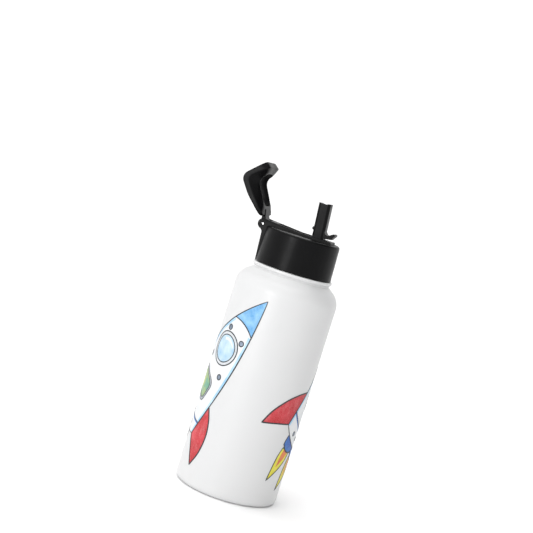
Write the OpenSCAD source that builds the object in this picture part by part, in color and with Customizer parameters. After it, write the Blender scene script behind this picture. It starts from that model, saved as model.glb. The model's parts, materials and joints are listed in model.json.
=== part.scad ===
// Vacuum-insulated steel water bottle with a screw-on straw lid, a flip spout and a swinging carry handle.
// Millimetres. +Z runs up the bottle's axis from the foot ring, and +X points to the spout's thumb tab.

/* [Bottle] */
// Outer diameter of the straight barrel
barrel_d = 91; // [89:0.5:95]
// Height at which the straight barrel ends and the shoulder starts
shoulder_z = 179.5; // [120:0.5:220]
// Radius of the shoulder
shoulder_r = 16; // [15.5:0.5:17]
// Radius of the corner at the base
base_r = 4.5; // [3:0.5:6]
// Wall of the coated outer shell
shell_t = 0.6; // [0.5:0.1:0.8]
// Wall of the inner liner
liner_t = 0.5; // [0.4:0.1:0.6]
// Evacuated gap between the shell and the liner
vacuum_gap = 3.4; // [3:0.1:3.8]
// Clear diameter of the mouth
mouth_d = 58; // [57.6:0.1:58.4]

/* [Thread] */
// Rise of the lid for one turn
pitch = 5; // [4.5:0.1:5.5]
// Length of each of the two mating ridges, in turns
thread_turns = 1.5; // [1:0.5:1.5]
// Height of each ridge above its wall
ridge_h = 1.1; // [0.9:0.05:1.15]

/* [Lid] */
// Outer diameter of the lid at its lower edge
lid_d = 67.8; // [66.8:0.1:68.2]
// How much narrower the lid is at its top
lid_draft = 2; // [1:0.1:2.4]
// Height of the lid's side from its lower edge to the deck
lid_h = 31.3; // [31:0.1:32]
// Width of the bridge that carries the spout and the handle's ears
bridge_w = 19; // [18.6:0.1:20]
// Width of the channel that the folded spout lies in
channel_w = 14; // [13.9:0.1:14.4]
// Distance of the handle pin behind the bottle's axis
pin_back = 35.8; // [35.6:0.1:36.2]
// Diameter of the handle pin
pin_d = 2; // [1.6:0.1:3]

/* [Spout] */
// Distance of the spout's pivot in front of the bottle's axis
pivot_x = 12.2; // [11.8:0.1:12.4]
// Width of the spout
spout_w = 12.6; // [12:0.1:13.2]
// Height of the spout's lip above its pivot
spout_h = 32.2; // [28:0.1:34]
// Backward lean of the open spout, in degrees
spout_lean = 4.8; // [4.8:0.4:6]
// Diameter of the drinking bore
bore_d = 5.2; // [4.4:0.1:5.4]

/* [Handle] */
// Overall width of the carry loop
loop_w = 37; // [35:0.5:40]
// Width of the finger opening
opening_w = 24.6; // [20:0.2:26]
// Width of the handle's stem between the ears
stem_w = 14; // [13.6:0.1:14.2]

/* [Straw] */
// Outer diameter of the straw
straw_d = 7; // [6.6:0.1:7]
// Wall of the straw
straw_t = 0.7; // [0.6:0.1:0.8]
// Gap between the straw's tip and the floor of the liner
straw_gap = 4; // [3:0.5:10]

/* [Hidden] */
$fn = 96;
eps = 0.01;
coat_white = [0.94, 0.94, 0.93];
lid_black = [0.11, 0.11, 0.12];
steel = [0.72, 0.73, 0.74];
soft_grey = [0.62, 0.64, 0.66];
clear_plastic = [0.85, 0.88, 0.90];
foam_cream = [0.93, 0.92, 0.86];

// Bottle: the shoulder is an arc followed by a cone, and the neck stands on a rolled bead
barrel_r = barrel_d / 2;
arc_x = barrel_r - shoulder_r;
cone_a = 53.13;
groove_r = 33.9;
bead_r = 35;
neck_r = mouth_d / 2 + 2;
neck_wall_r = neck_r - shell_t;
arc_end = [arc_x + shoulder_r * cos(cone_a), shoulder_z + shoulder_r * sin(cone_a)];
groove_z = arc_end[1] + (arc_end[0] - groove_r) / tan(cone_a);
bead_z = groove_z + 4.7;
rim_z = bead_z + 18.5;
foot_inner_r = barrel_r - 7;
foot_outer_r = barrel_r - base_r;
liner_r = barrel_r - shell_t - vacuum_gap;
floor_z = 8;
floor_corner_r = 9;
floor_seam_a = -24;
mouth_r = mouth_d / 2;
liner_arc_r = shoulder_r - shell_t - vacuum_gap;
liner_neck_r = mouth_r + liner_t;

// Thread: both ridges start at the same angle, and the lid's ridge lies just under the neck's
neck_thread_z = bead_z + 6.5;
plug_thread_z = neck_thread_z - 2.1;

// Lid: heights are measured from its lower edge, which stands just clear of the bead
lid_z = bead_z + 0.4;
deck_z = lid_z + lid_h;
deck_t = 2.2;
skirt_r = neck_r + 0.4;
lid_r = lid_d / 2;
lid_top_r = lid_r - lid_draft / 2;
edge_r = 2;
cavity_r = 29.6;
seal_gap = 0.1;
gasket_t = 1.7;
flange_z = rim_z + gasket_t + 2 * seal_gap;
flange_t = 1.9;
shelf_z = flange_z + flange_t + seal_gap;
plug_r = mouth_r - 1.7;
plug_t = 2.6;
plug_bottom_z = lid_z - 0.6;

// Bridge, ears and back rib
pin_x = -pin_back;
pin_z = deck_z;
ear_r = 4.6;
bridge_end_x = 26.4;
bridge_mid = [-4, deck_z + 2.3];
bridge_front_z = deck_z + 2.2;
rib_x = -34.9;
rib_foot_x = -33.3;
rib_blend_r = 4;
rib_blend_x = rib_x - rib_blend_r;
rib_blend_z = pin_z - sqrt(pow(ear_r + rib_blend_r, 2) - pow(rib_blend_x - pin_x, 2));
channel_z = deck_z - 4.7;
channel_t = 2;
channel_back_x = -23.5;
channel_front_x = 19.2;
slot_r = 3.9;
slot_w = stem_w + 0.6;
slot_front_x = pin_x + 5.2;

// Spout
pivot_z = deck_z + 0.4;
barrel_foot_r = 4.6;
trunnion_r = 1.6;
trunnion_fit = 0.05;
spout_back = 4.4;
spout_front = 6.2;
vent_arm = 9.5;
vent_x = pivot_x - vent_arm;
port_x = pivot_x + 0.4;

// Handle
knuckle_r = 3.4;
pin_fit = 0.05;
back_start = [pin_x - 3.2, pin_z + 5.8];
back_length = 62;
back_heading = [[0, 46], [18, 46], [24, 36], [33, 36], [43, -47], [62, -47]];
front_start = [pin_x - 0.6, pin_z + 7.4];
front_length = 43;
front_heading = [[0, 11], [7.6, 11], [10, 28], [25, 28], [35, -47], [43, -47]];
across = [[0, 0], [0.121, 7.6], [0.387, 24], [0.61, 30.5], [1, 43]];
ledge_t = 0.13;
bar_t = 0.84;

// Points on an arc about [x, z] from angle a to angle b
function arc(x, z, r, a, b, n = 12) = [for (i = [0 : n]) let(w = a + (b - a) * i / n) [x + r * cos(w), z + r * sin(w)]];

// A running sum of short steps whose heading, in degrees back from the vertical, comes from a table
function curve(start, table, length, n = 48) = let(d = length / n)
    [for (i = 0, p = start; i <= n; p = p + d * [-sin(lookup((i + 0.5) * d, table)), cos(lookup((i + 0.5) * d, table))],
        i = i + 1) p];

// The point at fraction t along a list of points
function along(points, t) = let(k = t * (len(points) - 1), i = min(floor(k), len(points) - 2))
    points[i] + (k - i) * (points[i + 1] - points[i]);

// Point i of 4 * m points spread evenly round a square of half-width 1 whose corners are softened by power k
function soft_square(i, m, k) = let(
        f = 2 * (i % m) / m - 1,
        q = [[f, -1], [1, f], [-f, 1], [-1, -f]][floor(i / m)])
    q / pow(pow(abs(q[0]), k) + pow(abs(q[1]), k), 1 / k);

// The faces of n sections of k points each, joined into a closed ring
function ring_faces(n, k) = [for (i = [0 : n - 1], j = [0 : k - 1])
    let(a = i * k + j, b = i * k + (j + 1) % k, c = ((i + 1) % n) * k + (j + 1) % k, d = ((i + 1) % n) * k + j)
    each [[a, b, c], [a, c, d]]];

// A box given by its lowest and highest corners
module block(low, high) {
    translate(low) cube(high - low);
}

// A cylinder along Y, centred on the XZ point p
module cross_bar(p, r, w) {
    translate([p[0], 0, p[1]]) rotate([90, 0, 0]) cylinder(r = r, h = w, center = true);
}

// An XZ outline given thickness w along Y, centred on the bottle's plane of symmetry
module plate(points, w) {
    rotate([90, 0, 0]) linear_extrude(height = w, center = true) polygon(points);
}

// A thread ridge that stands d outwards from radius r, or inwards if d is negative. Each half turn is an arc of
// a ring, tilted so that it climbs half a pitch, with a narrow vent gap between one arc and the next.
module ridge(r, d, z) {
    root = 0.25 * sign(d);
    tilt = asin(pitch / 4 / r);
    gap = 5;
    for (k = [0 : 2 * thread_turns - 1])
        translate([0, 0, z + pitch * (k / 2 + 0.25)]) rotate([0, k % 2 == 0 ? tilt : -tilt, 0])
            rotate([0, 0, 180 * k + gap]) rotate_extrude(angle = 180 - 2 * gap)
                polygon([[r - root, -1], [r + d, -0.45], [r + d, 0.45], [r - root, 1]]);
}

// One side of the shell's section, moved inwards by t
function shell_side(t) = concat(
    [[foot_inner_r, t], [foot_outer_r, t]],
    arc(foot_outer_r, base_r, base_r - t, -90, 0, 8),
    arc(arc_x, shoulder_z, shoulder_r - t, 0, cone_a, 14));

// The coated outer shell: foot, barrel, shoulder, rolled bead and neck in one drawn piece
module outer_shell() {
    color(coat_white) rotate_extrude() polygon(concat(
        shell_side(0),
        [[groove_r, groove_z], [groove_r, groove_z + 0.8]],
        arc(bead_r - 0.8, groove_z + 3, 1.3, -60, 0, 5),
        arc(bead_r - 0.5, bead_z - 1, 1, 20, 90, 5),
        [[neck_r, bead_z], [neck_r, rim_z - 1], [neck_wall_r, rim_z - 1], [neck_wall_r, bead_z - shell_t]],
        [[bead_r - 1, bead_z - shell_t], [bead_r - 1, groove_z + 2.4], [groove_r - shell_t, groove_z + 0.8]],
        [[groove_r - shell_t, groove_z - 0.3]],
        [for (p = [len(shell_side(shell_t)) - 1 : -1 : 0]) shell_side(shell_t)[p]]));
}

// The dished plate that closes the shell's foot, with a small port at its centre
module base_plate() {
    t = shell_t;
    color(coat_white) rotate_extrude() polygon([[1.2, 2.8], [foot_inner_r - 4, 2.8], [foot_inner_r - 2, 0.4],
        [foot_inner_r, 0.4], [foot_inner_r, 0.4 + t], [foot_inner_r - 1.7, 0.4 + t], [foot_inner_r - 3.7, 2.8 + t],
        [1.2, 2.8 + t]]);
}

// The round cover glued over the sealed port
module seal_cover() {
    color(steel) rotate_extrude() polygon([[0, 1.7], [8.6, 1.7], [9, 2.1], [9, 2.8], [5, 2.8], [5, 2.2], [0, 2.2]]);
}

// The bead of solder glass that seals the evacuation port
module vacuum_seal() {
    color("dimgray") rotate_extrude() polygon(concat([[0, 3.4 + 0.9]], arc(0, 3.4, 0.9, 90, 0, 6),
        [[1.2, 3.4], [1.2, 2.8], [0.9, 2.4], [0, 2.4]]));
}

// The getter pellet that keeps the vacuum, and the clip spot-welded over it
module getter() {
    color("gray") translate([16, 0, 2.8 + shell_t]) cylinder(r = 4, h = 1.8);
}
module getter_clip() {
    base = 2.8 + shell_t;
    color(steel) difference() {
        union() {
            translate([16, 0, base]) cylinder(r = 4.6, h = 2.2);
            block([9, -2.5, base], [23, 2.5, base + 0.4]);
        }
        translate([16, 0, base - eps]) cylinder(r = 4.05, h = 1.82);
        translate([16, 0, base]) cylinder(r = 2, h = 5);
    }
}

// The liner: wall, shoulder, threaded neck and a rim that is curled over the shell's neck
function liner_side(t) = let(
        p = [arc_x + (liner_arc_r - t) * cos(cone_a), shoulder_z + (liner_arc_r - t) * sin(cone_a)],
        r = liner_neck_r - t)
    concat(arc(liner_r - floor_corner_r, floor_z + floor_corner_r, floor_corner_r - t, floor_seam_a, 0, 3),
        arc(arc_x, shoulder_z, liner_arc_r - t, 0, cone_a, 14),
        [[r, p[1] + (p[0] - r) / tan(cone_a)]]);
module liner_wall() {
    inside = liner_side(liner_t);
    color(steel) union() {
        rotate_extrude() polygon(concat(liner_side(0), [[liner_neck_r, rim_z - 1], [neck_r, rim_z - 1]],
            arc(neck_r - 0.5, rim_z - 0.5, 0.5, 0, 90, 4), arc(mouth_r + 0.5, rim_z - 0.5, 0.5, 90, 180, 4),
            [for (p = [len(inside) - 1 : -1 : 0]) inside[p]]));
        ridge(mouth_r, -ridge_h, neck_thread_z);
    }
}

// The dished floor, welded to the liner's wall part of the way up the corner
module liner_floor() {
    function side(t) = concat([[0, floor_z + t]],
        arc(liner_r - floor_corner_r, floor_z + floor_corner_r, floor_corner_r - t, -90, floor_seam_a, 8));
    inside = side(liner_t);
    color(steel) rotate_extrude() polygon(concat(side(0), [for (p = [len(inside) - 1 : -1 : 0]) inside[p]]));
}

// The sealing ring that the plug presses on the rim
module lid_gasket() {
    z = rim_z + seal_gap;
    color(soft_grey) rotate_extrude() polygon(concat([[plug_r + 0.1, z + 0.3], [neck_r - 1.7, z + 0.3]],
        arc(neck_r - 1, z + 0.5, 0.5, 200, 360, 6), [[neck_r - 0.3, z + 0.9], [neck_r - 0.3, z + gasket_t],
        [plug_r + 0.1, z + gasket_t]]));
}

// The side outline of the bridge, the ears and the back rib
function bridge_outline() = let(
        d = bridge_mid - [pin_x, pin_z],
        tangent = atan2(d[1], d[0]) + acos(ear_r / norm(d)),
        blend = atan2(rib_blend_z - pin_z, rib_blend_x - pin_x) + 360,
        r = 0.8)
    concat([[bridge_end_x, deck_z - 1]], arc(bridge_end_x - r, bridge_front_z - r, r, 0, 90, 4), [bridge_mid],
        arc(pin_x, pin_z, ear_r, tangent, blend, 24), arc(rib_blend_x, rib_blend_z, rib_blend_r, blend - 180, 0, 8),
        [[rib_foot_x, lid_z], [rib_foot_x + 3, lid_z], [rib_foot_x + 6, deck_z - 1]]);

// The moulded lid: round cap, bridge, ears and rib, hollow below, with the spout's channel on top
module lid_shell() {
    color(lid_black) difference() {
        union() {
            rotate_extrude() polygon(concat([[0, lid_z + 1], [skirt_r - 1, lid_z + 1], [skirt_r - 1, lid_z],
                [lid_r - 0.3, lid_z], [lid_r, lid_z + 0.3]],
                arc(lid_top_r - edge_r, deck_z - edge_r, edge_r, 0, 90, 8), [[0, deck_z]]));
            intersection() {
                plate(bridge_outline(), bridge_w);
                bridge_section();
            }
        }
        rotate_extrude() polygon([[0, lid_z - 1], [skirt_r, lid_z - 1], [skirt_r, shelf_z], [cavity_r, shelf_z],
            [cavity_r, deck_z - deck_t - 0.8], [cavity_r - 0.8, deck_z - deck_t], [0, deck_z - deck_t]]);
        channel_cut();
        ear_slot();
        cross_bar([pin_x, pin_z], pin_d / 2 + eps, bridge_w + 2);
        cross_bar([pivot_x, pivot_z], trunnion_r + trunnion_fit, bridge_w - 1.2);
    }
    color(lid_black) channel_tray();
}

// The bridge's section across its length, with rounded upper edges
module bridge_section() {
    r = 1;
    top = deck_z + 8;
    half = bridge_w / 2;
    intersection() {
        block([-50, -half, lid_z - 1], [40, half, top]);
        union() {
            block([-50, -half, lid_z - 1], [40, half, deck_z + 2]);
            translate([-50, 0, 0]) rotate([90, 0, 90]) linear_extrude(height = 90) polygon(concat(
                [[-half, deck_z + 1.9]], [[half, deck_z + 1.9]], [[half, deck_z + 2.4]],
                [[half - 0.5, deck_z + 5.4]], [[-half + 0.5, deck_z + 5.4]], [[-half, deck_z + 2.4]]));
        }
    }
}

// The hollow for the folded spout, open at the top
module channel_cut() {
    half = channel_w / 2;
    block([channel_back_x, -half, channel_z], [channel_front_x, half, deck_z + 8]);
}

// The slot between the ears, in which the handle's knuckle turns
module ear_slot() {
    half = slot_w / 2;
    cross_bar([pin_x, pin_z], slot_r, slot_w);
    block([pin_x - 8, -half, pin_z - slot_r - 0.7], [pin_x + 0.6, half, pin_z + 8]);
    block([pin_x - 8, -half, pin_z], [slot_front_x, half, pin_z + 8]);
}

// The floor and walls of the channel inside the lid, with the seal's pocket and the vent's tube
module channel_tray() {
    half = channel_w / 2;
    t = 1.6;
    top = deck_z - deck_t + eps;
    foot = shelf_z - seal_gap + eps;
    difference() {
        union() {
            block([channel_back_x - t, -half - t, channel_z - channel_t], [channel_front_x + t, half + t, top]);
            translate([port_x, 0, foot]) cylinder(r = 6.4, h = channel_z - foot - 1);
            translate([vent_x, 0, foot]) cylinder(r = 3, h = channel_z - foot - 1);
        }
        channel_cut();
        translate([port_x, 0, channel_z - 2.4]) cylinder(r = 5.2, h = 10);
        translate([port_x, 0, foot - 1]) cylinder(r = 3.7, h = 20);
        translate([vent_x, 0, foot - 1]) cylinder(r = 1.1, h = 20);
        translate([vent_x, 0, channel_z - 1.7]) cylinder(r = 2.2, h = 5);
    }
}

// The plug under the lid: a flange on the lid's shelf, a threaded wall, the straw's socket and the vent's collar
module lid_plug() {
    color(lid_black) union() {
        difference() {
            union() {
                rotate_extrude() polygon([[plug_r - plug_t, plug_bottom_z + 0.6], [plug_r - plug_t + 0.6, plug_bottom_z],
                    [plug_r - 0.6, plug_bottom_z], [plug_r, plug_bottom_z + 0.6], [plug_r, flange_z],
                    [skirt_r - 0.1, flange_z], [skirt_r - 0.1, flange_z + flange_t], [0, flange_z + flange_t],
                    [0, flange_z], [plug_r - plug_t, flange_z]]);
                translate([port_x, 0, flange_z - 14]) cylinder(r = straw_d / 2 + 3, h = 14 + flange_t);
                translate([vent_x - 5, 0, flange_z - 3]) cylinder(r = 4.6, h = 3 + flange_t);
            }
            translate([port_x, 0, flange_z - 15]) cylinder(r = straw_d / 2 + 1.3, h = 14);
            translate([port_x, 0, flange_z - 2]) cylinder(r = 3.7, h = 10);
            translate([vent_x - 5, 0, flange_z - 4]) cylinder(r = 3.4, h = 4);
            translate([vent_x - 5, 0, flange_z - 1]) cylinder(r = 1.1, h = 10);
            block([vent_x - 5, -1.1, flange_z + 0.9], [vent_x, 1.1, flange_z + flange_t + 1]);
        }
        ridge(plug_r, ridge_h, plug_thread_z);
    }
}

// The soft seat that the spout's foot turns on, with a tail down to the straw's socket
module spout_seal() {
    color(soft_grey) difference() {
        union() {
            translate([port_x, 0, channel_z - 2.4]) cylinder(r = 5.1, h = 3);
            translate([port_x, 0, flange_z + 0.2]) cylinder(r = 3.6, h = 6);
        }
        translate([port_x, 0, flange_z]) cylinder(r = bore_d / 2 - 0.1, h = 20);
        cross_bar([pivot_x, pivot_z], barrel_foot_r + 0.1, 20);
    }
}

// The soft duckbill that lets air in behind the drink
module vent_valve() {
    top = flange_z - 0.1;
    color(soft_grey) difference() {
        translate([vent_x - 5, 0, 0]) rotate_extrude() polygon([[0, top], [3.3, top], [3.3, top - 1.4],
            [2.4, top - 1.8], [1.9, top - 5.2], [1.4, top - 6.4], [0, top - 6.4]]);
        translate([vent_x - 5, 0, top - 4.4]) cylinder(r = 1.1, h = 6);
        block([vent_x - 6.2, -0.1, top - 8], [vent_x - 3.8, 0.1, top - 4]);
    }
}

// The soft sleeve that grips the straw
module straw_socket() {
    low = flange_z - 15;
    color(soft_grey) translate([port_x, 0, 0]) rotate_extrude() polygon([[straw_d / 2, low],
        [straw_d / 2 + 2.4, low], [straw_d / 2 + 2.4, low + 0.9], [straw_d / 2 + 1.2, low + 0.9],
        [straw_d / 2 + 1.2, low + 13.9], [bore_d / 2 - 0.1, low + 13.9], [bore_d / 2 - 0.1, low + 12.9],
        [straw_d / 2, low + 12.9]]);
}

// The straw, cut on a slant at its tip
module straw() {
    low = floor_z + liner_t + straw_gap;
    color(clear_plastic) difference() {
        translate([port_x, 0, low]) cylinder(d = straw_d, h = flange_z - 2.2 - low);
        translate([port_x, 0, low - 1]) cylinder(d = straw_d - 2 * straw_t, h = 300);
        translate([port_x, 0, low]) rotate([0, 35, 0]) translate([0, 0, -10]) cube([30, 30, 20], center = true);
    }
}

// The foam puck that insulates the lid, moulded round the channel's tray and the two tubes
module lid_foam() {
    half = channel_w / 2 + 1.9;
    low = flange_z + flange_t + 0.2;
    color(foam_cream) difference() {
        translate([0, 0, low]) cylinder(r = cavity_r - 1, h = deck_z - deck_t - 0.2 - low);
        block([channel_back_x - 1.9, -half, channel_z - channel_t - 0.3], [channel_front_x + 1.9, half, deck_z]);
        translate([port_x, 0, low - 1]) cylinder(r = 6.7, h = 10);
        translate([vent_x, 0, low - 1]) cylinder(r = 3.3, h = 10);
    }
}

// The steel pin pressed through the ears
module handle_pin() {
    length = bridge_w - 0.4;
    color(steel) translate([pin_x, length / 2, pin_z]) rotate([90, 0, 0]) union() {
        translate([0, 0, 0.3]) cylinder(d = pin_d, h = length - 0.6);
        cylinder(d1 = pin_d - 0.5, d2 = pin_d, h = 0.3);
        translate([0, 0, length - 0.3]) cylinder(d1 = pin_d, d2 = pin_d - 0.5, h = 0.3);
    }
}

// The carry loop as a ring of sections round the finger opening. Its back and its front follow two
// curves seen from the side, and the arms are thin at their outer edges and deep at the opening.
module carry_loop() {
    side = 20;
    back = curve(back_start, back_heading, back_length);
    front = curve(front_start, front_heading, front_length);
    function depth(t) = lookup(t, [[0, 1], [0.75, 1], [1, 0.8]]);
    function outer_share(t) = lookup(t, [[0, 0.85], [0.12, 0.42], [0.4, 0.37], [0.6, 0.34], [1, 0.55]]);
    function at(y, t, w) = let(b = along(back, t), f = along(front, lookup(t, across) / front_length),
            p = b + w * (f - b))
        [p[0], y, p[1]];
    points = [for (i = [0 : 4 * side - 1]) let(
            rim = soft_square(i, side, 9),
            hole = soft_square(i, side, 4),
            yo = loop_w / 2 * rim[0],
            to = 0.5 + 0.5 * rim[1],
            yi = opening_w / 2 * hole[0],
            ti = (ledge_t + bar_t) / 2 + (bar_t - ledge_t) / 2 * hole[1])
        each [at(yo, to, 0), at(yo, to, outer_share(to)), at(yo * 0.35 + yi * 0.65, to * 0.35 + ti * 0.65,
            outer_share(to) * 0.3 + depth(ti) * 0.66), at(yi, ti, depth(ti) * 0.92), at(yi, ti, 0.1),
            at(yo * 0.5 + yi * 0.5, to * 0.5 + ti * 0.5, 0)]];
    polyhedron(points, ring_faces(4 * side, 6));
}

// The handle: loop, stem and the knuckle that turns on the pin
module handle() {
    color(lid_black) difference() {
        union() {
            carry_loop();
            cross_bar([pin_x, pin_z], knuckle_r, stem_w);
            plate([[pin_x - 3.6, pin_z], [pin_x - 3.2, pin_z + 5.8], [pin_x - 4.1, pin_z + 10.5],
                [pin_x - 1.5, pin_z + 12.5], [pin_x - 0.2, pin_z + 5.8], [pin_x + 0.4, pin_z]], stem_w);
        }
        cross_bar([pin_x, pin_z], pin_d / 2 + pin_fit, stem_w + 2);
    }
}

// The flip spout: a flattened tube on a round foot with two trunnions and a thumb tab
module spout() {
    r = 2.6;
    half = spout_w / 2;
    color(lid_black) difference() {
        union() {
            translate([pivot_x, 0, pivot_z]) rotate([0, -spout_lean, 0]) {
                linear_extrude(height = spout_h) union() {
                    translate([-spout_back, -half + r]) square([spout_back + spout_front, spout_w - 2 * r]);
                    translate([-spout_back + r, -half]) square([spout_back + spout_front - 2 * r, spout_w]);
                    for (x = [-spout_back + r, spout_front - r], y = [-half + r, half - r])
                        translate([x, y]) circle(r = r);
                }
            }
            cross_bar([pivot_x, pivot_z], barrel_foot_r, spout_w);
            cross_bar([pivot_x, pivot_z], trunnion_r, bridge_w - 1.6);
            plate(concat([[pivot_x, pivot_z + 2.6], [pivot_x + 6.6, pivot_z + 3], [pivot_x + 12.4, pivot_z + 3.8]],
                arc(pivot_x + 13.7, pivot_z + 7.9, 1.3, -60, 110, 8), [[pivot_x + 8.8, pivot_z + 6.2],
                [pivot_x + 6.6, pivot_z + 7], [pivot_x + 4.9, pivot_z + 9.4], [pivot_x, pivot_z + 9.6]]), spout_w - 1.4);
        }
        translate([pivot_x, 0, pivot_z]) rotate([0, -spout_lean, 0]) {
            translate([0, 0, -10]) cylinder(d = bore_d, h = spout_h + 20);
            translate([0.5, 0, spout_h + 8.2]) rotate([90, 0, 0]) cylinder(r = 9, h = 30, center = true);
            translate([-spout_back, 0, vent_arm]) rotate([0, 90, 0]) cylinder(r = 1, h = 2.4, center = true);
        }
    }
}

// The soft stopper in the spout's back that closes the vent when the spout is folded
module vent_stopper() {
    color(soft_grey) translate([pivot_x, 0, pivot_z]) rotate([0, -spout_lean, 0])
        translate([-spout_back, 0, vent_arm]) rotate([0, -90, 0]) union() {
            translate([0, 0, -1.1]) cylinder(r = 0.95, h = 1.2);
            cylinder(r = 1.6, h = 0.9);
            translate([0, 0, 0.9]) cylinder(r1 = 1.6, r2 = 1, h = 1);
        }
}

outer_shell();
base_plate();
seal_cover();
vacuum_seal();
getter();
getter_clip();
liner_wall();
liner_floor();
lid_gasket();
lid_shell();
lid_plug();
spout_seal();
vent_valve();
straw_socket();
straw();
lid_foam();
handle_pin();
handle();
spout();
vent_stopper();
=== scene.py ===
"""Looks for an insulated water bottle: coated steel body with printed rockets, black straw lid and carry handle.

The frame is metres, +Z up the bottle's axis from the foot ring, +X to the spout's thumb tab.
"""

import json
import math

import bmesh
import bpy
from mathutils import Matrix, Vector


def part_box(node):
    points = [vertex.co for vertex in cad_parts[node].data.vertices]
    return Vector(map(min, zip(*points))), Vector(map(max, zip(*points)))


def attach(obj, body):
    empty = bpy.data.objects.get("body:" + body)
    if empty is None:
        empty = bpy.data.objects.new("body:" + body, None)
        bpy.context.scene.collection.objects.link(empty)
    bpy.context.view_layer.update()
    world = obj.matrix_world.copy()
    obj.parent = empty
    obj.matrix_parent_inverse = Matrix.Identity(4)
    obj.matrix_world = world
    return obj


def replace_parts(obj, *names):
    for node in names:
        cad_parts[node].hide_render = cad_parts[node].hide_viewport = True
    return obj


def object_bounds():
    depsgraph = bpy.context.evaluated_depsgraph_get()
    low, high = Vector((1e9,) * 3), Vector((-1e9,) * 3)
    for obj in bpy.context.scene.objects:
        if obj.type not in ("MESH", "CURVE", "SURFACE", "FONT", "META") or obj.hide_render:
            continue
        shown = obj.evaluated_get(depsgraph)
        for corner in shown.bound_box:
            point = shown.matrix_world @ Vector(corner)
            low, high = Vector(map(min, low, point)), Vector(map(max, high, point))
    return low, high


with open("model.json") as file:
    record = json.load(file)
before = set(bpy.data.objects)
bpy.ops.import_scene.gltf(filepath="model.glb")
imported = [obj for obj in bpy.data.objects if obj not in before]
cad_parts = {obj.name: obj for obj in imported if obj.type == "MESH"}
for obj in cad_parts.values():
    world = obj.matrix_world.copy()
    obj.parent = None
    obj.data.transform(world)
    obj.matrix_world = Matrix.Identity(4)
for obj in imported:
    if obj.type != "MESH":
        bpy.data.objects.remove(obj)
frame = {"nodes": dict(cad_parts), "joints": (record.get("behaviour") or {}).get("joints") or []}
cad_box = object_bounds()

MM = 0.001

# Sizes that the frame gives, and the ones that repeat part.scad, in millimetres
SHELL_LOW, SHELL_HIGH = (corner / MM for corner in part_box("outer_shell"))
LID_LOW, LID_HIGH = (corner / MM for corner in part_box("lid_shell"))
PLUG_LOW, PLUG_HIGH = (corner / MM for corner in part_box("lid_plug"))
JOINTS = {joint["name"]: joint for joint in frame["joints"]}
HANDLE_PIVOT = Vector(JOINTS["handle_swing"]["pos_m"]) / MM
SPOUT_PIVOT = Vector(JOINTS["spout_flip"]["pos_m"]) / MM
BARREL_R = SHELL_HIGH.x
SHOULDER_Z = 179.5
SHOULDER_R = 16.0
BASE_R = 4.5
SHELL_T = 0.6
FOOT_INNER_R = BARREL_R - 7
FOOT_OUTER_R = BARREL_R - BASE_R
CONE_ANGLE = math.radians(53.13)
GROOVE_R = 33.9
BEAD_R = 35.0
NECK_R = 31.0


# ---------------------------------------------------------------- materials

def shader(name):
    """A new node material, with its tree and its Principled shader."""
    material = bpy.data.materials.new(name)
    material.use_nodes = True
    tree = material.node_tree
    return material, tree, tree.nodes["Principled BSDF"]


def add_node(tree, kind, **inputs):
    """A node of that kind, with the sockets that inputs names set to those values."""
    made = tree.nodes.new(kind)
    for name, value in inputs.items():
        made.inputs[name.replace("_", " ")].default_value = value
    return made


def noise(tree, scale, detail=3.0, roughness=0.5, stretch=(1, 1, 1)):
    """Noise in the row's own coordinates. scale is in blobs per metre."""
    where = tree.nodes.new("ShaderNodeTexCoord")
    mapping = tree.nodes.new("ShaderNodeMapping")
    mapping.inputs["Scale"].default_value = stretch
    tree.links.new(where.outputs["Object"], mapping.inputs["Vector"])
    made = add_node(tree, "ShaderNodeTexNoise", Scale=scale, Detail=detail, Roughness=roughness)
    tree.links.new(mapping.outputs["Vector"], made.inputs["Vector"])
    return made.outputs["Fac"]


def spread(tree, value, low, high, start=0.3, end=0.7):
    """Maps value from start..end to low..high."""
    made = tree.nodes.new("ShaderNodeMapRange")
    for name, number in (("From Min", start), ("From Max", end), ("To Min", low), ("To Max", high)):
        made.inputs[name].default_value = number
    tree.links.new(value, made.inputs["Value"])
    return made.outputs["Result"]


def blend_colours(tree, factor, first, second):
    """The colour between first and second at factor. Each is a colour or another node's output."""
    made = tree.nodes.new("ShaderNodeMix")
    made.data_type = "RGBA"
    tree.links.new(factor, made.inputs[0])
    for socket, colour in ((made.inputs[6], first), (made.inputs[7], second)):
        if isinstance(colour, bpy.types.NodeSocket):
            tree.links.new(colour, socket)
        else:
            socket.default_value = (*colour, 1)
    return made.outputs[2]


def bump(tree, bsdf, height, distance, strength=1.0):
    """Bumps of about distance metres from the height output."""
    made = add_node(tree, "ShaderNodeBump", Strength=strength, Distance=distance)
    tree.links.new(height, made.inputs["Height"])
    tree.links.new(made.outputs["Normal"], bsdf.inputs["Normal"])


def powder_coat():
    """White satin powder coat with a very fine orange peel."""
    material, tree, bsdf = shader("powder_coat")
    tint = blend_colours(tree, noise(tree, 18, 4), (0.60, 0.605, 0.61), (0.625, 0.625, 0.625))
    tree.links.new(tint, bsdf.inputs["Base Color"])
    tree.links.new(spread(tree, noise(tree, 60, 4), 0.36, 0.46), bsdf.inputs["Roughness"])
    bsdf.inputs["Coat Weight"].default_value = 0.25
    bsdf.inputs["Coat Roughness"].default_value = 0.3
    bump(tree, bsdf, noise(tree, 1400, 2), 0.00002, 0.35)
    return material


def black_plastic():
    """Black moulded polypropylene with a spark-eroded grain and slightly rubbed patches."""
    material, tree, bsdf = shader("black_plastic")
    tint = blend_colours(tree, noise(tree, 45, 5), (0.0016, 0.0016, 0.0019), (0.0034, 0.0034, 0.0038))
    tree.links.new(tint, bsdf.inputs["Base Color"])
    tree.links.new(spread(tree, noise(tree, 90, 5), 0.32, 0.42), bsdf.inputs["Roughness"])
    bsdf.inputs["Specular IOR Level"].default_value = 0.11
    bump(tree, bsdf, noise(tree, 2600, 3, 0.6), 0.00004, 0.45)
    return material


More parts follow.
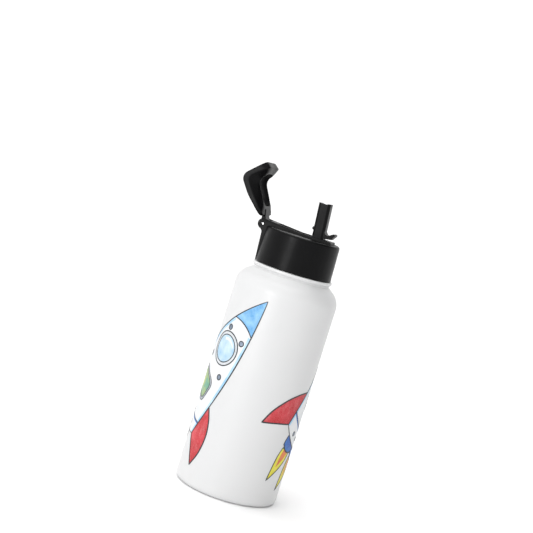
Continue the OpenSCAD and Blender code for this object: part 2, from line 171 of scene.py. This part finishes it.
def brushed_steel():
    """Stainless steel, brushed round the axis."""
    material, tree, bsdf = shader("brushed_steel")
    lines = noise(tree, 900, 4, 0.6, (0.05, 0.05, 3.0))
    tint = blend_colours(tree, lines, (0.50, 0.50, 0.51), (0.68, 0.68, 0.69))
    tree.links.new(tint, bsdf.inputs["Base Color"])
    tree.links.new(spread(tree, lines, 0.2, 0.38), bsdf.inputs["Roughness"])
    bsdf.inputs["Metallic"].default_value = 1.0
    bump(tree, bsdf, lines, 0.00002, 0.4)
    return material


def silicone():
    """Soft grey silicone, a little see-through at its edges."""
    material, tree, bsdf = shader("silicone")
    tint = blend_colours(tree, noise(tree, 120, 3), (0.40, 0.42, 0.44), (0.50, 0.52, 0.54))
    tree.links.new(tint, bsdf.inputs["Base Color"])
    tree.links.new(spread(tree, noise(tree, 300, 3), 0.45, 0.62), bsdf.inputs["Roughness"])
    bsdf.inputs["Subsurface Weight"].default_value = 0.2
    bsdf.inputs["Subsurface Scale"].default_value = 0.002
    bump(tree, bsdf, noise(tree, 1800, 2), 0.00002, 0.4)
    return material


def black_silicone():
    """Black silicone of the small stopper."""
    material, tree, bsdf = shader("black_silicone")
    tint = blend_colours(tree, noise(tree, 200, 3), (0.012, 0.012, 0.013), (0.026, 0.026, 0.028))
    tree.links.new(tint, bsdf.inputs["Base Color"])
    tree.links.new(spread(tree, noise(tree, 400, 3), 0.5, 0.66), bsdf.inputs["Roughness"])
    bump(tree, bsdf, noise(tree, 2400, 2), 0.00002, 0.4)
    return material


def clear_plastic():
    """Clear straw plastic with faint lengthwise flow lines."""
    material, tree, bsdf = shader("clear_plastic")
    lines = noise(tree, 500, 3, 0.5, (1, 1, 0.04))
    tint = blend_colours(tree, lines, (0.80, 0.86, 0.90), (0.90, 0.94, 0.96))
    tree.links.new(tint, bsdf.inputs["Base Color"])
    tree.links.new(spread(tree, lines, 0.06, 0.16), bsdf.inputs["Roughness"])
    bsdf.inputs["Transmission Weight"].default_value = 0.85
    bsdf.inputs["IOR"].default_value = 1.46
    bump(tree, bsdf, lines, 0.00002, 0.3)
    return material


def foam():
    """Closed-cell foam with fine beads."""
    material, tree, bsdf = shader("foam")
    where = tree.nodes.new("ShaderNodeTexCoord")
    cells = add_node(tree, "ShaderNodeTexVoronoi", Scale=900.0)
    tree.links.new(where.outputs["Object"], cells.inputs["Vector"])
    tint = blend_colours(tree, cells.outputs["Distance"], (0.88, 0.87, 0.80), (0.72, 0.70, 0.62))
    tree.links.new(tint, bsdf.inputs["Base Color"])
    tree.links.new(spread(tree, cells.outputs["Distance"], 0.75, 0.95, 0, 1), bsdf.inputs["Roughness"])
    bump(tree, bsdf, cells.outputs["Distance"], 0.0001, 0.6)
    return material


def dark_solid(name, dark, light, rough, metallic):
    """A dark, slightly mottled solid, for the solder glass and for the getter's sintered metal."""
    material, tree, bsdf = shader(name)
    mottle = noise(tree, 1500, 4, 0.6)
    tree.links.new(blend_colours(tree, mottle, dark, light), bsdf.inputs["Base Color"])
    tree.links.new(spread(tree, mottle, rough, rough + 0.2), bsdf.inputs["Roughness"])
    bsdf.inputs["Metallic"].default_value = metallic
    bump(tree, bsdf, mottle, 0.00005, 0.5)
    return material


def wash(name, deep, pale, streak=(1.0, 1.0, 0.35)):
    """A watercolour wash under clear coat: pools of deep colour, pale brush streaks and a fine paper tooth."""
    material, tree, bsdf = shader(name)
    pools = spread(tree, noise(tree, 75, 5, 0.6), 0, 1, 0.36, 0.66)
    brush = spread(tree, noise(tree, 260, 4, 0.6, streak), 0, 0.35, 0.5, 0.78)
    tooth = spread(tree, noise(tree, 1700, 2, 0.5), 0, 0.08, 0.4, 0.7)
    colour = blend_colours(tree, pools, deep, pale)
    lighter = tuple(0.7 * channel + 0.2 for channel in pale)
    colour = blend_colours(tree, brush, colour, lighter)
    colour = blend_colours(tree, tooth, colour, (0.9, 0.9, 0.9))
    tree.links.new(colour, bsdf.inputs["Base Color"])
    tree.links.new(spread(tree, noise(tree, 400, 3), 0.38, 0.5), bsdf.inputs["Roughness"])
    bsdf.inputs["Specular IOR Level"].default_value = 0.3
    bump(tree, bsdf, noise(tree, 1400, 2), 0.00002, 0.35)
    return material


def ink_line():
    """Thin charcoal line, broken a little by the paper's tooth."""
    material, tree, bsdf = shader("ink_line")
    tooth = spread(tree, noise(tree, 1500, 3, 0.6), 0, 1, 0.35, 0.8)
    tree.links.new(blend_colours(tree, tooth, (0.006, 0.007, 0.009), (0.045, 0.048, 0.055)), bsdf.inputs["Base Color"])
    tree.links.new(spread(tree, noise(tree, 400, 3), 0.4, 0.55), bsdf.inputs["Roughness"])
    return material


# ---------------------------------------------------------------- mesh tools

def arc(x, z, r, start, end, steps):
    """Points on an arc about (x, z), from the angle start to the angle end, in radians."""
    turn = [start + (end - start) * i / steps for i in range(steps + 1)]
    return [(x + r * math.cos(a), z + r * math.sin(a)) for a in turn]


def new_object(name, mesh_data, material, body):
    """Links a finished bmesh, in millimetres, as a piece that rides on body."""
    mesh = bpy.data.meshes.new(name)
    bmesh.ops.recalc_face_normals(mesh_data, faces=mesh_data.faces)
    mesh_data.to_mesh(mesh)
    mesh_data.free()
    mesh.transform(Matrix.Scale(MM, 4))
    made = bpy.data.objects.new(name, mesh)
    bpy.context.scene.collection.objects.link(made)
    made.data.materials.append(material)
    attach(made, body)
    return made


def smooth(made, degrees=35):
    """Smooth shading with sharp edges where the faces turn by more than that."""
    mesh = made.data
    mesh.shade_smooth()
    mesh.set_sharp_from_angle(angle=math.radians(degrees))


def revolved(profile, segments):
    """A bmesh of a closed profile of (r, z) points turned about Z."""
    mesh = bmesh.new()
    rings = []
    for r, z in profile:
        turns = [2 * math.pi * i / segments for i in range(segments)]
        rings.append([mesh.verts.new((r * math.cos(a), r * math.sin(a), z)) for a in turns])
    for ring, following in zip(rings, rings[1:] + rings[:1]):
        for i in range(segments):
            j = (i + 1) % segments
            mesh.faces.new((ring[i], ring[j], following[j], following[i]))
    return mesh


# ---------------------------------------------------------------- body of the bottle

def shell_side(t):
    """One side of the shell's section, moved inwards by t."""
    points = [(FOOT_INNER_R, t), (FOOT_OUTER_R, t)]
    points += arc(FOOT_OUTER_R, BASE_R, BASE_R - t, -math.pi / 2, 0, 16)[1:]
    points += arc(BARREL_R - SHOULDER_R, SHOULDER_Z, SHOULDER_R - t, 0, CONE_ANGLE, 32)
    return points


def bottle_coat(material):
    """The coated shell: foot, barrel, shoulder, rolled bead and neck, with soft edges at the groove."""
    end = arc(BARREL_R - SHOULDER_R, SHOULDER_Z, SHOULDER_R, 0, CONE_ANGLE, 1)[-1]
    groove_z = end[1] + (end[0] - GROOVE_R) / math.tan(CONE_ANGLE)
    bead_z = groove_z + 4.7
    rim_z = bead_z + 18.5
    inner = BEAD_R - 1
    outline = shell_side(0)
    outline += arc(GROOVE_R + 0.9, groove_z + 0.55, 0.9, math.radians(218), math.radians(150), 6)
    outline += arc(BEAD_R - 0.8, groove_z + 3, 1.3, math.radians(-60), 0, 10)
    outline += arc(BEAD_R - 0.5, bead_z - 1, 1, math.radians(20), math.pi / 2, 10)
    outline += [(NECK_R, bead_z), (NECK_R, rim_z - 1), (NECK_R - SHELL_T, rim_z - 1)]
    outline += [(NECK_R - SHELL_T, bead_z - SHELL_T), (inner, bead_z - SHELL_T), (inner, groove_z + 2.4)]
    outline += [(GROOVE_R - SHELL_T, groove_z + 0.8), (GROOVE_R - SHELL_T, groove_z - 0.3)]
    outline += list(reversed(shell_side(SHELL_T)))
    made = new_object("bottle_coat", revolved(outline, 240), material, "bottle")
    smooth(made, 40)
    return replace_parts(made, "outer_shell")


# ---------------------------------------------------------------- printed rockets

PRINT_DEPTH = 0.03
PRINT_STEP = 2.0


class Placement:
    """Where a picture is on the barrel. Its own u runs from its tip to its tail and v to its right, in millimetres."""

    def __init__(self, angle, height, lean):
        self.start = math.radians(angle) * BARREL_R
        self.height = height
        self.down = (-math.sin(math.radians(lean)), -math.cos(math.radians(lean)))

    def on_barrel(self, u, v):
        """(distance round the barrel, height) of the picture's point (u, v)."""
        across = (-self.down[1], self.down[0])
        s = self.start + u * self.down[0] + v * across[0]
        z = self.height + u * self.down[1] + v * across[1]
        return s, z


def wrap(mesh):
    """Bends a flat print, with x round the barrel, y up it and z off it, onto the barrel and its shoulder."""
    for vertex in mesh.verts:
        s, z, lift = vertex.co
        rise = max(0.0, z - SHOULDER_Z) / SHOULDER_R
        r = BARREL_R - SHOULDER_R * (1 - math.sqrt(1 - rise * rise)) + lift
        vertex.co = (r * math.cos(s / BARREL_R), r * math.sin(s / BARREL_R), z + lift * rise)


def slice_up(mesh, axis, first, last, step):
    """Cuts a flat mesh along the given axis from first to last, so that it can bend."""
    normal = Vector((1, 0, 0)) if axis == 0 else Vector((0, 1, 0))
    cut = first
    while cut < last:
        everything = mesh.verts[:] + mesh.edges[:] + mesh.faces[:]
        bmesh.ops.bisect_plane(mesh, geom=everything, plane_co=normal * cut, plane_no=normal)
        cut += step


def printed(name, polygons, lift, material):
    """A thin closed print on the barrel from polygons of (s, z) points."""
    mesh = bmesh.new()
    for polygon in polygons:
        mesh.faces.new([mesh.verts.new((s, z, lift)) for s, z in polygon])
    bmesh.ops.triangulate(mesh, faces=mesh.faces)
    low = min(vertex.co.x for vertex in mesh.verts)
    high = max(vertex.co.x for vertex in mesh.verts)
    top = max(vertex.co.y for vertex in mesh.verts)
    slice_up(mesh, 0, (math.floor(low / PRINT_STEP) + 1) * PRINT_STEP, high, PRINT_STEP)
    slice_up(mesh, 1, SHOULDER_Z, top, 0.5 * PRINT_STEP)
    bmesh.ops.recalc_face_normals(mesh, faces=mesh.faces)
    base = bmesh.ops.extrude_face_region(mesh, geom=mesh.faces[:], use_keep_orig=True)
    for item in base["geom"]:
        if isinstance(item, bmesh.types.BMVert):
            item.co.z = -PRINT_DEPTH
    wrap(mesh)
    made = new_object(name, mesh, material, "bottle")
    smooth(made, 40)
    return made


def line_polygons(points, width, closed=False):
    """One four-sided polygon for each step of a line, mitred where the steps meet."""
    count = len(points)
    sides = []
    for i, here in enumerate(points):
        before = points[(i - 1) % count] if closed or i > 0 else here
        after = points[(i + 1) % count] if closed or i < count - 1 else here
        along = Vector((after[0] - before[0], after[1] - before[1])).normalized()
        half = 0.5 * width
        if not closed:
            half *= 0.45 + 0.55 * math.sin(math.pi * (i + 0.5) / count) ** 0.5
        normal = Vector((-along.y, along.x)) * half
        sides.append((Vector(here) + normal, Vector(here) - normal))
    pairs = zip(sides, sides[1:] + sides[:1]) if closed else zip(sides, sides[1:])
    return [(a[0], b[0], b[1], a[1]) for a, b in pairs]


HULL_TAIL = 135.0
TAIL_BOW = 9.0
NOSE_END = 32.0
HULL_HALF = 29.2
PORTHOLE = (58.0, 0.0)
ENGINES = (-9.5, 9.5)


def hull_half(u):
    """Half-width of the hull: a pointed nose that swells to the widest place, then narrows a little to the tail."""
    widest = 120.0
    if u < widest:
        return HULL_HALF * math.sin(0.5 * math.pi * u / widest) ** 0.92
    return HULL_HALF - 0.5 * ((u - widest) / (HULL_TAIL - widest)) ** 2


def hull_side(u, side, inset=0.0):
    """v of the hull's edge at u. side is -1 for the left edge and 1 for the right."""
    return side * max(0.0, hull_half(u) - inset)


def hull_edge(start, end, side, inset=0.0, steps=28):
    """Points down one side of the hull."""
    places = [start + (end - start) * i / steps for i in range(steps + 1)]
    return [(u, hull_side(u, side, inset)) for u in places]


def tail_line(u, bow, steps=20):
    """A line across the hull from edge to edge at u, with its middle bowed towards the tail."""
    places = [-1 + 2 * i / steps for i in range(steps + 1)]
    return [(u + bow * (1 - x * x), hull_half(u) * x) for x in places]


def nose_line(steps=16):
    """The line between nose and body, bowed towards the tip."""
    places = [-1 + 2 * i / steps for i in range(steps + 1)]
    return [(NOSE_END - 3.0 * (1 - x * x), hull_half(NOSE_END) * x) for x in places]


def ring(u, v, r, squeeze=1.0, steps=40):
    """A closed round of points about (u, v)."""
    turns = [2 * math.pi * i / steps for i in range(steps)]
    return [(u + r * math.cos(a), v + squeeze * r * math.sin(a)) for a in turns]


def smooth_curve(corners, steps=10):
    """A Catmull-Rom curve through the corner points."""
    ends = [corners[0]] + list(corners) + [corners[-1]]
    points = []
    for a, b, c, d in zip(ends, ends[1:], ends[2:], ends[3:]):
        for i in range(steps):
            t = i / steps
            points.append(tuple(0.5 * (2 * q + (r - p) * t + (2 * p - 5 * q + 4 * r - s) * t * t
                                       + (3 * q - p - 3 * r + s) * t ** 3) for p, q, r, s in zip(a, b, c, d)))
    return points + [corners[-1]]


def fin(side):
    """A swept side fin, from the hull's edge out to its tip and back to the tail."""
    root = hull_half(102)
    tip = 150.0
    outer = smooth_curve([(102, root), (110, root + 10), (121, root + 18), (136, root + 23), (tip, root + 23.4)])
    foot = smooth_curve([(tip, root + 23.4), (tip - 8.5, root + 11), (HULL_TAIL, hull_half(HULL_TAIL))])
    outline = outer + foot[1:] + [(u, side * v) for u, v in hull_edge(HULL_TAIL, 104, side, 0.0, 10)[1:]]
    return [(u, side * v) for u, v in outline]


def bell(v):
    """The outline of an engine bell centred at v. Its top is hidden behind the hull."""
    top, low = HULL_TAIL + 2, HULL_TAIL + 17
    left = smooth_curve([(top, v - 9.6), (top + 8, v - 9.4), (low - 2.5, v - 8.6)], 6)
    base = smooth_curve([(low - 2.5, v - 8.6), (low + 0.6, v), (low - 2.5, v + 8.6)], 8)
    right = [(u, 2 * v - w) for u, w in reversed(left)]
    return left + base[1:] + right[1:]


def bell_line(v):
    """The part of a bell's outline that shows beyond the hull's tail."""
    return [(u, w) for u, w in bell(v) if u > HULL_TAIL + TAIL_BOW * (1 - (w / HULL_HALF) ** 2)]


def flame(v, reach):
    """A plain drop-shaped flame under the bell at v. reach is 1 for the outer flame and less for its core."""
    start = HULL_TAIL + 17
    half, length = 6.6 * reach, 31.0 * reach
    left = smooth_curve([(start, v - half), (start + 0.35 * length, v - 0.9 * half), (start + length, v)], 8)
    return left + [(u, 2 * v - w) for u, w in reversed(left[:-1])]


def panel(inset):
    """The outline of the plain round-cornered panel below the porthole, inset by that much."""
    half_u, half_v = 12.0 - inset, 15.0 - inset
    places = [(k / 36 * 2 * math.pi) for k in range(36)]
    return [(99.0 + half_u * soft(math.cos(a)), half_v * soft(math.sin(a))) for a in places]


def soft(x):
    """Turns a circle's coordinate into that of a square with round corners."""
    return math.copysign(abs(x) ** 0.45, x)


def rocket(name, place, paint):
    """One printed rocket: filled shapes in rising layers, then the lines over them."""
    def put(part, shapes, layer, colour):
        flat = [[place.on_barrel(u, v) for u, v in shape] for shape in shapes]
        printed(f"{name}_{part}", flat, 0.03 * layer, colour)

    hull = hull_edge(0, HULL_TAIL, 1) + list(reversed(tail_line(HULL_TAIL, TAIL_BOW)))[1:-1]
    hull += list(reversed(hull_edge(0, HULL_TAIL, -1)))[:-1]
    nose = hull_edge(0, NOSE_END, 1) + list(reversed(nose_line()))[1:-1]
    nose += list(reversed(hull_edge(0, NOSE_END, -1)))[:-1]
    stripes = []
    for side in (-1, 1):
        outer = hull_edge(NOSE_END + 1, HULL_TAIL, side)
        inner = hull_edge(NOSE_END + 1, HULL_TAIL, side, 2.6)
        stripes += [[a, b, d, c] for a, b, c, d in zip(outer, outer[1:], inner, inner[1:])]
    band = tail_line(121.5, 6) + list(reversed(tail_line(123.3, 6)))
    rivets = [ring(u, side * 0.62 * hull_half(u), 2.3, 1, 20) for u in (42.0, 78.0) for side in (-1, 1)]
    bolts = [ring(136, v, 2.0, 1, 16) for v in (-12.0, 0.0, 12.0)]
    fins = [fin(-1), fin(1)]
    bells = [bell(v) for v in ENGINES]
    flames = [flame(v, 1) for v in ENGINES]
    put("hull", [hull], 2, paint["hull"])
    put("fins", fins, 1, paint["red"])
    put("bells", bells, 1, paint["blue"])
    put("flames", flames, 1, paint["yellow"])
    put("flame_cores", [flame(v, 0.55) for v in ENGINES], 2, paint["orange"])
    put("nose", [nose], 3, paint["sky"])
    put("stripes", stripes, 3, paint["pale_blue"])
    put("panel_frame", [panel(0)], 3, paint["grey"])
    put("panel", [panel(2.2)], 4, paint["green"])
    put("band", [band], 4, paint["blue"])
    put("porthole_frame", [ring(*PORTHOLE, 15)], 3, paint["frame"])
    put("porthole_glass", [ring(*PORTHOLE, 12)], 4, paint["glass"])
    glint = ring(PORTHOLE[0], PORTHOLE[1], 9.8, 1, 36)[14:24]
    glint += list(reversed(ring(PORTHOLE[0] + 1.5, PORTHOLE[1] + 1.5, 9.4, 1, 36)[14:24]))
    put("porthole_glint", [glint], 5, paint["hull"])
    put("rivets", rivets, 3, paint["steel"])
    put("bolts", bolts, 3, paint["steel"])

    closed = [(shape, 1.2) for shape in fins] + [(ring(*PORTHOLE, 15), 1.0)]
    closed += [(shape, 0.85) for shape in flames + rivets + [panel(0), panel(2.2), ring(*PORTHOLE, 12)]]
    closed += [(shape, 0.7) for shape in bolts]
    edges = [hull_edge(0, HULL_TAIL, -1, 0, 60), hull_edge(0, HULL_TAIL, 1, 0, 60)]
    open_lines = [(shape, 1.1) for shape in edges] + [(bell_line(v), 1.2) for v in ENGINES]
    open_lines += [(shape, 1.05) for shape in (nose_line(), tail_line(HULL_TAIL, TAIL_BOW), tail_line(121.5, 6))]
    polygons = []
    for points, width in closed:
        polygons += line_polygons([place.on_barrel(u, v) for u, v in points], width, True)
    for points, width in open_lines:
        polygons += line_polygons([place.on_barrel(u, v) for u, v in points], width)
    printed(f"{name}_lines", polygons, 0.19, paint["line"])


def artwork():
    """Two printed rockets on opposite sides of the barrel."""
    paint = {
        "hull": wash("wash_hull", (0.66, 0.68, 0.70), (0.74, 0.75, 0.76)),
        "frame": wash("wash_frame", (0.46, 0.49, 0.52), (0.66, 0.68, 0.70)),
        "red": wash("wash_red", (0.42, 0.006, 0.012), (0.58, 0.045, 0.06)),
        "blue": wash("wash_blue", (0.003, 0.06, 0.34), (0.008, 0.16, 0.50)),
        "sky": wash("wash_sky", (0.09, 0.31, 0.60), (0.30, 0.55, 0.78)),
        "pale_blue": wash("wash_pale_blue", (0.26, 0.50, 0.72), (0.50, 0.67, 0.80)),
        "yellow": wash("wash_yellow", (0.62, 0.54, 0.02), (0.74, 0.69, 0.06)),
        "orange": wash("wash_orange", (0.50, 0.06, 0.015), (0.66, 0.18, 0.03)),
        "green": wash("wash_green", (0.10, 0.32, 0.22), (0.50, 0.50, 0.12)),
        "grey": wash("wash_grey", (0.30, 0.34, 0.38), (0.48, 0.52, 0.56)),
        "steel": wash("wash_steel", (0.08, 0.11, 0.16), (0.26, 0.32, 0.40)),
        "glass": wash("wash_glass", (0.28, 0.48, 0.66), (0.55, 0.68, 0.78)),
        "line": ink_line(),
    }
    rocket("rocket_a", Placement(angle=-93.5, height=173.8, lean=29.5), paint)
    rocket("rocket_b", Placement(angle=87, height=181, lean=29), paint)


# ---------------------------------------------------------------- handle

BACK_START = (-3.2, 5.8)
BACK_LENGTH = 62.0
BACK_HEADING = [(0, 46), (18, 46), (24, 36), (33, 36), (43, -47), (62, -47)]
FRONT_START = (-0.6, 7.4)
FRONT_LENGTH = 43.0
FRONT_HEADING = [(0, 11), (7.6, 11), (10, 28), (25, 28), (35, -47), (43, -47)]
FRONT_AT = [(0, 0), (0.121, 7.6), (0.387, 24), (0.61, 30.5), (1, 43)]
LOOP_W = 37.0
OPENING_W = 24.6
OPENING_FROM, OPENING_TO = 0.13, 0.84
STEM_W = 14.0
KNUCKLE_R = 3.4
PIN_BORE_R = 1.05


def look_up(table, at):
    """Straight-line look-up of at in a table of (at, value) rows."""
    for (low, first), (high, last) in zip(table, table[1:]):
        if at <= high:
            return first + (last - first) * (max(at, low) - low) / (high - low)
    return table[-1][1]


def walk(start, heading, length, steps=124):
    """A running sum of short steps whose heading, in degrees back from the vertical, comes from a table."""
    points = [Vector(start)]
    size = length / steps
    for i in range(steps):
        lean = math.radians(look_up(heading, (i + 0.5) * size))
        points.append(points[-1] + size * Vector((-math.sin(lean), math.cos(lean))))
    return points


def along(points, t):
    """The point at fraction t along a list of points."""
    place = min(max(t, 0.0), 1.0) * (len(points) - 1)
    i = min(int(place), len(points) - 2)
    return points[i].lerp(points[i + 1], place - i)


def soft_square(turn, power):
    """A point on a square of half-width 1 with softened corners, for turn from 0 to 1."""
    side, part = divmod(4 * turn, 1)
    f = 2 * part - 1
    x, z = [(f, -1), (1, f), (-f, 1), (-1, -f)][int(side) % 4]
    size = (abs(x) ** power + abs(z) ** power) ** (1 / power)
    return x / size, z / size


def rounded_section(corners, radius, steps=4):
    """A closed section with each corner replaced by a curve that starts about radius from it."""
    points = []
    for before, here, after in zip(corners[-1:] + corners[:-1], corners, corners[1:] + corners[:1]):
        first = here + (before - here).normalized() * min(radius, 0.42 * (before - here).length)
        last = here + (after - here).normalized() * min(radius, 0.42 * (after - here).length)
        for i in range(steps + 1):
            t = i / steps
            points.append(first * (1 - t) ** 2 + here * 2 * t * (1 - t) + last * t * t)
    return points


def carry_loop(stations=192):
    """The loop as a ring of rounded sections round the finger opening, thin outside and deep at the opening."""
    back = walk(BACK_START, BACK_HEADING, BACK_LENGTH)
    front = walk(FRONT_START, FRONT_HEADING, FRONT_LENGTH)

    def at(y, t, w):
        first = along(back, t)
        place = first.lerp(along(front, look_up(FRONT_AT, t) / FRONT_LENGTH), w)
        return Vector((HANDLE_PIVOT.x + place.x, y, HANDLE_PIVOT.z + place.y))

    mesh = bmesh.new()
    rings = []
    for i in range(stations):
        rim, hole = soft_square(i / stations, 9), soft_square(i / stations, 4)
        yo, to = 0.5 * LOOP_W * rim[0], 0.5 + 0.5 * rim[1]
        yi = 0.5 * OPENING_W * hole[0]
        ti = 0.5 * (OPENING_TO + OPENING_FROM) + 0.5 * (OPENING_TO - OPENING_FROM) * hole[1]
        share = look_up([(0, 0.85), (0.12, 0.42), (0.4, 0.37), (0.6, 0.34), (1, 0.55)], to)
        depth = look_up([(0, 1), (0.75, 1), (1, 0.8)], ti)
        corners = [at(yo, to, 0), at(yo, to, share),
                   at(0.35 * yo + 0.65 * yi, 0.35 * to + 0.65 * ti, 0.3 * share + 0.66 * depth),
                   at(yi, ti, 0.92 * depth), at(yi, ti, 0.1), at(0.5 * (yo + yi), 0.5 * (to + ti), 0)]
        rings.append([mesh.verts.new(point) for point in rounded_section(corners, 0.75)])
    for ring_a, ring_b in zip(rings, rings[1:] + rings[:1]):
        for i, start in enumerate(ring_a):
            j = (i + 1) % len(ring_a)
            mesh.faces.new((start, ring_a[j], ring_b[j], ring_b[i]))
    return mesh


def stem():
    """The handle's stem and knuckle, as one outline seen from the side, with the pin's bore through it."""
    px, pz = HANDLE_PIVOT.x, HANDLE_PIVOT.z
    knuckle = arc(px, pz, KNUCKLE_R, math.radians(168), math.radians(378), 28)
    upper = [(px + 0.9, pz + 4.2), (px - 0.2, pz + 6.2), (px - 1.5, pz + 12.5), (px - 4.1, pz + 10.5)]
    outline = knuckle + upper + [(px - 3.4, pz + 5.8)]
    bore = list(reversed(arc(px, pz, PIN_BORE_R, 0, 2 * math.pi * 23 / 24, 23)))
    mesh = bmesh.new()
    loops = []
    for points in (outline, bore):
        verts = [mesh.verts.new((x, -0.5 * STEM_W, z)) for x, z in points]
        loops += [mesh.edges.new((a, b)) for a, b in zip(verts, verts[1:] + verts[:1])]
    made = bmesh.ops.triangle_fill(mesh, use_beauty=True, edges=loops)
    faces = [item for item in made["geom"] if isinstance(item, bmesh.types.BMFace)]
    raised = bmesh.ops.extrude_face_region(mesh, geom=faces, use_keep_orig=True)
    for item in raised["geom"]:
        if isinstance(item, bmesh.types.BMVert):
            item.co.y = 0.5 * STEM_W
    return mesh


def add_handle(material):
    """The smooth handle: its loop, and the stem that turns on the pin."""
    loop = new_object("handle_loop", carry_loop(), material, "handle")
    loop.data.shade_smooth()
    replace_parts(loop, "handle")
    foot = new_object("handle_stem", stem(), material, "handle")
    smooth(foot, 30)
    round_edges(foot, 0.5, 40)


# ---------------------------------------------------------------- edges of the CAD pieces

def round_edges(piece, width, degrees):
    """A small rounding on each edge that turns by more than that."""
    rounding = piece.modifiers.new("rounding", "BEVEL")
    rounding.limit_method = "ANGLE"
    rounding.angle_limit = math.radians(degrees)
    rounding.width = width * MM
    rounding.segments = 3
    rounding.use_clamp_overlap = True
    rounding.harden_normals = True


def soften(node_name, width, degrees=32):
    """Rounds a CAD piece's sharp edges with modifiers: weld the seams, merge flat facets, bevel what still turns."""
    piece = frame["nodes"][node_name]
    weld = piece.modifiers.new("weld", "WELD")
    weld.merge_threshold = 0.002 * MM
    flatten = piece.modifiers.new("flatten", "DECIMATE")
    flatten.decimate_type = "DISSOLVE"
    flatten.angle_limit = math.radians(0.6)
    round_edges(piece, width, degrees)
    shade = piece.modifiers.new("shade", "WEIGHTED_NORMAL")
    shade.weight = 100
    shade.keep_sharp = True


def finish_cad_nodes(looks):
    """Gives every CAD piece its material."""
    finish = {
        "powder_coat": ["outer_shell", "base_plate"],
        "brushed_steel": ["seal_cover", "getter_clip", "liner_wall", "liner_floor", "handle_pin"],
        "silicone": ["lid_gasket", "spout_seal", "vent_valve", "straw_socket"],
        "black_silicone": ["vent_stopper"],
        "black_plastic": ["lid_shell", "lid_plug", "handle", "spout"],
        "clear_plastic": ["straw"],
        "foam": ["lid_foam"],
        "solder_glass": ["vacuum_seal"],
        "getter_metal": ["getter"],
    }
    for look, nodes in finish.items():
        for name in nodes:
            mesh = frame["nodes"][name].data
            mesh.materials.clear()
            mesh.materials.append(looks[look])


# ---------------------------------------------------------------- stage

def add_floor():
    """A wide, pale floor."""
    mesh = bmesh.new()
    bmesh.ops.create_circle(mesh, cap_ends=True, segments=96, radius=6.0)
    data = bpy.data.meshes.new("floor")
    mesh.to_mesh(data)
    mesh.free()
    floor = bpy.data.objects.new("floor", data)
    bpy.context.scene.collection.objects.link(floor)
    material, tree, bsdf = shader("floor_paper")
    tint = blend_colours(tree, noise(tree, 3, 3), (0.93, 0.93, 0.93), (0.95, 0.95, 0.95))
    tree.links.new(tint, bsdf.inputs["Base Color"])
    bsdf.inputs["Roughness"].default_value = 0.9
    bsdf.inputs["Specular IOR Level"].default_value = 0.1
    data.materials.append(material)
    floor.location.z = cad_box[0].z - 0.0001


def add_light(name, place, target, size, power):
    """A square soft light at place that faces target."""
    data = bpy.data.lights.new(name, "AREA")
    data.size = size
    data.energy = power
    light = bpy.data.objects.new(name, data)
    bpy.context.scene.collection.objects.link(light)
    light.location = place
    light.rotation_mode = "QUATERNION"
    light.rotation_quaternion = (Vector(target) - Vector(place)).to_track_quat("-Z", "Y")


def add_lights():
    """A white room that is dark high on the right, one large soft key, and weak light from straight above."""
    world = bpy.data.worlds.new("room")
    world.use_nodes = True
    tree = world.node_tree
    background = tree.nodes["Background"]
    place = tree.nodes.new("ShaderNodeTexCoord")
    side = tree.nodes.new("ShaderNodeVectorMath")
    side.operation = "DOT_PRODUCT"
    side.inputs[1].default_value = (0.60, 0.13, 0.79)
    tree.links.new(place.outputs["Generated"], side.inputs[0])
    fall = spread(tree, side.outputs["Value"], 1.09, 0.0, 0.70, 0.88)
    tree.links.new(fall, background.inputs["Strength"])
    background.inputs["Color"].default_value = (1.0, 1.0, 1.0, 1)
    bpy.context.scene.world = world
    add_light("key", (-0.44, -1.32, 0.30), (0, 0, 0.18), 0.28, 5.0)
    data = bpy.data.lights.new("overhead", "SUN")
    data.energy = 1.4
    data.angle = math.radians(60)
    light = bpy.data.objects.new("overhead", data)
    bpy.context.scene.collection.objects.link(light)


def add_camera():
    """The camera, low and in front, a little to the tab's side. It is rolled, so the bottle seems to lean."""
    azimuth, pan, tilt, roll = (math.radians(x) for x in (12.0, -1.146, 5.205, 17.223))
    distance, height = 1.150042, 0.302547
    forward = Vector((math.sin(pan) * math.cos(tilt), math.cos(pan) * math.cos(tilt), -math.sin(tilt)))
    level = forward.cross(Vector((0, 0, 1))).normalized()
    upright = level.cross(forward)
    right = level * math.cos(roll) + upright * math.sin(roll)
    up = upright * math.cos(roll) - level * math.sin(roll)
    turn = Matrix.Rotation(azimuth, 3, "Z")
    axes = Matrix((turn @ right, turn @ up, turn @ -forward)).transposed()
    data = bpy.data.cameras.new("camera")
    data.lens = 90
    data.sensor_width = 36
    data.clip_start = 0.05
    camera = bpy.data.objects.new("camera", data)
    bpy.context.scene.collection.objects.link(camera)
    place = turn @ Vector((0, -distance, 0)) + Vector((0, 0, height))
    camera.matrix_world = Matrix.Translation(place) @ axes.to_4x4()
    bpy.context.scene.camera = camera


add_camera()
LOOKS = {
    "powder_coat": powder_coat(),
    "brushed_steel": brushed_steel(),
    "silicone": silicone(),
    "black_silicone": black_silicone(),
    "black_plastic": black_plastic(),
    "clear_plastic": clear_plastic(),
    "foam": foam(),
    "solder_glass": dark_solid("solder_glass", (0.02, 0.02, 0.025), (0.06, 0.06, 0.07), 0.1, 0.0),
    "getter_metal": dark_solid("getter_metal", (0.10, 0.10, 0.11), (0.22, 0.22, 0.23), 0.5, 0.9),
}
finish_cad_nodes(LOOKS)
bottle_coat(LOOKS["powder_coat"])
add_handle(LOOKS["black_plastic"])
artwork()
soften("lid_shell", 0.35)
soften("spout", 0.4)
soften("handle_pin", 0.1)
add_floor()
add_lights()
bpy.context.scene.view_settings.view_transform = "Standard"
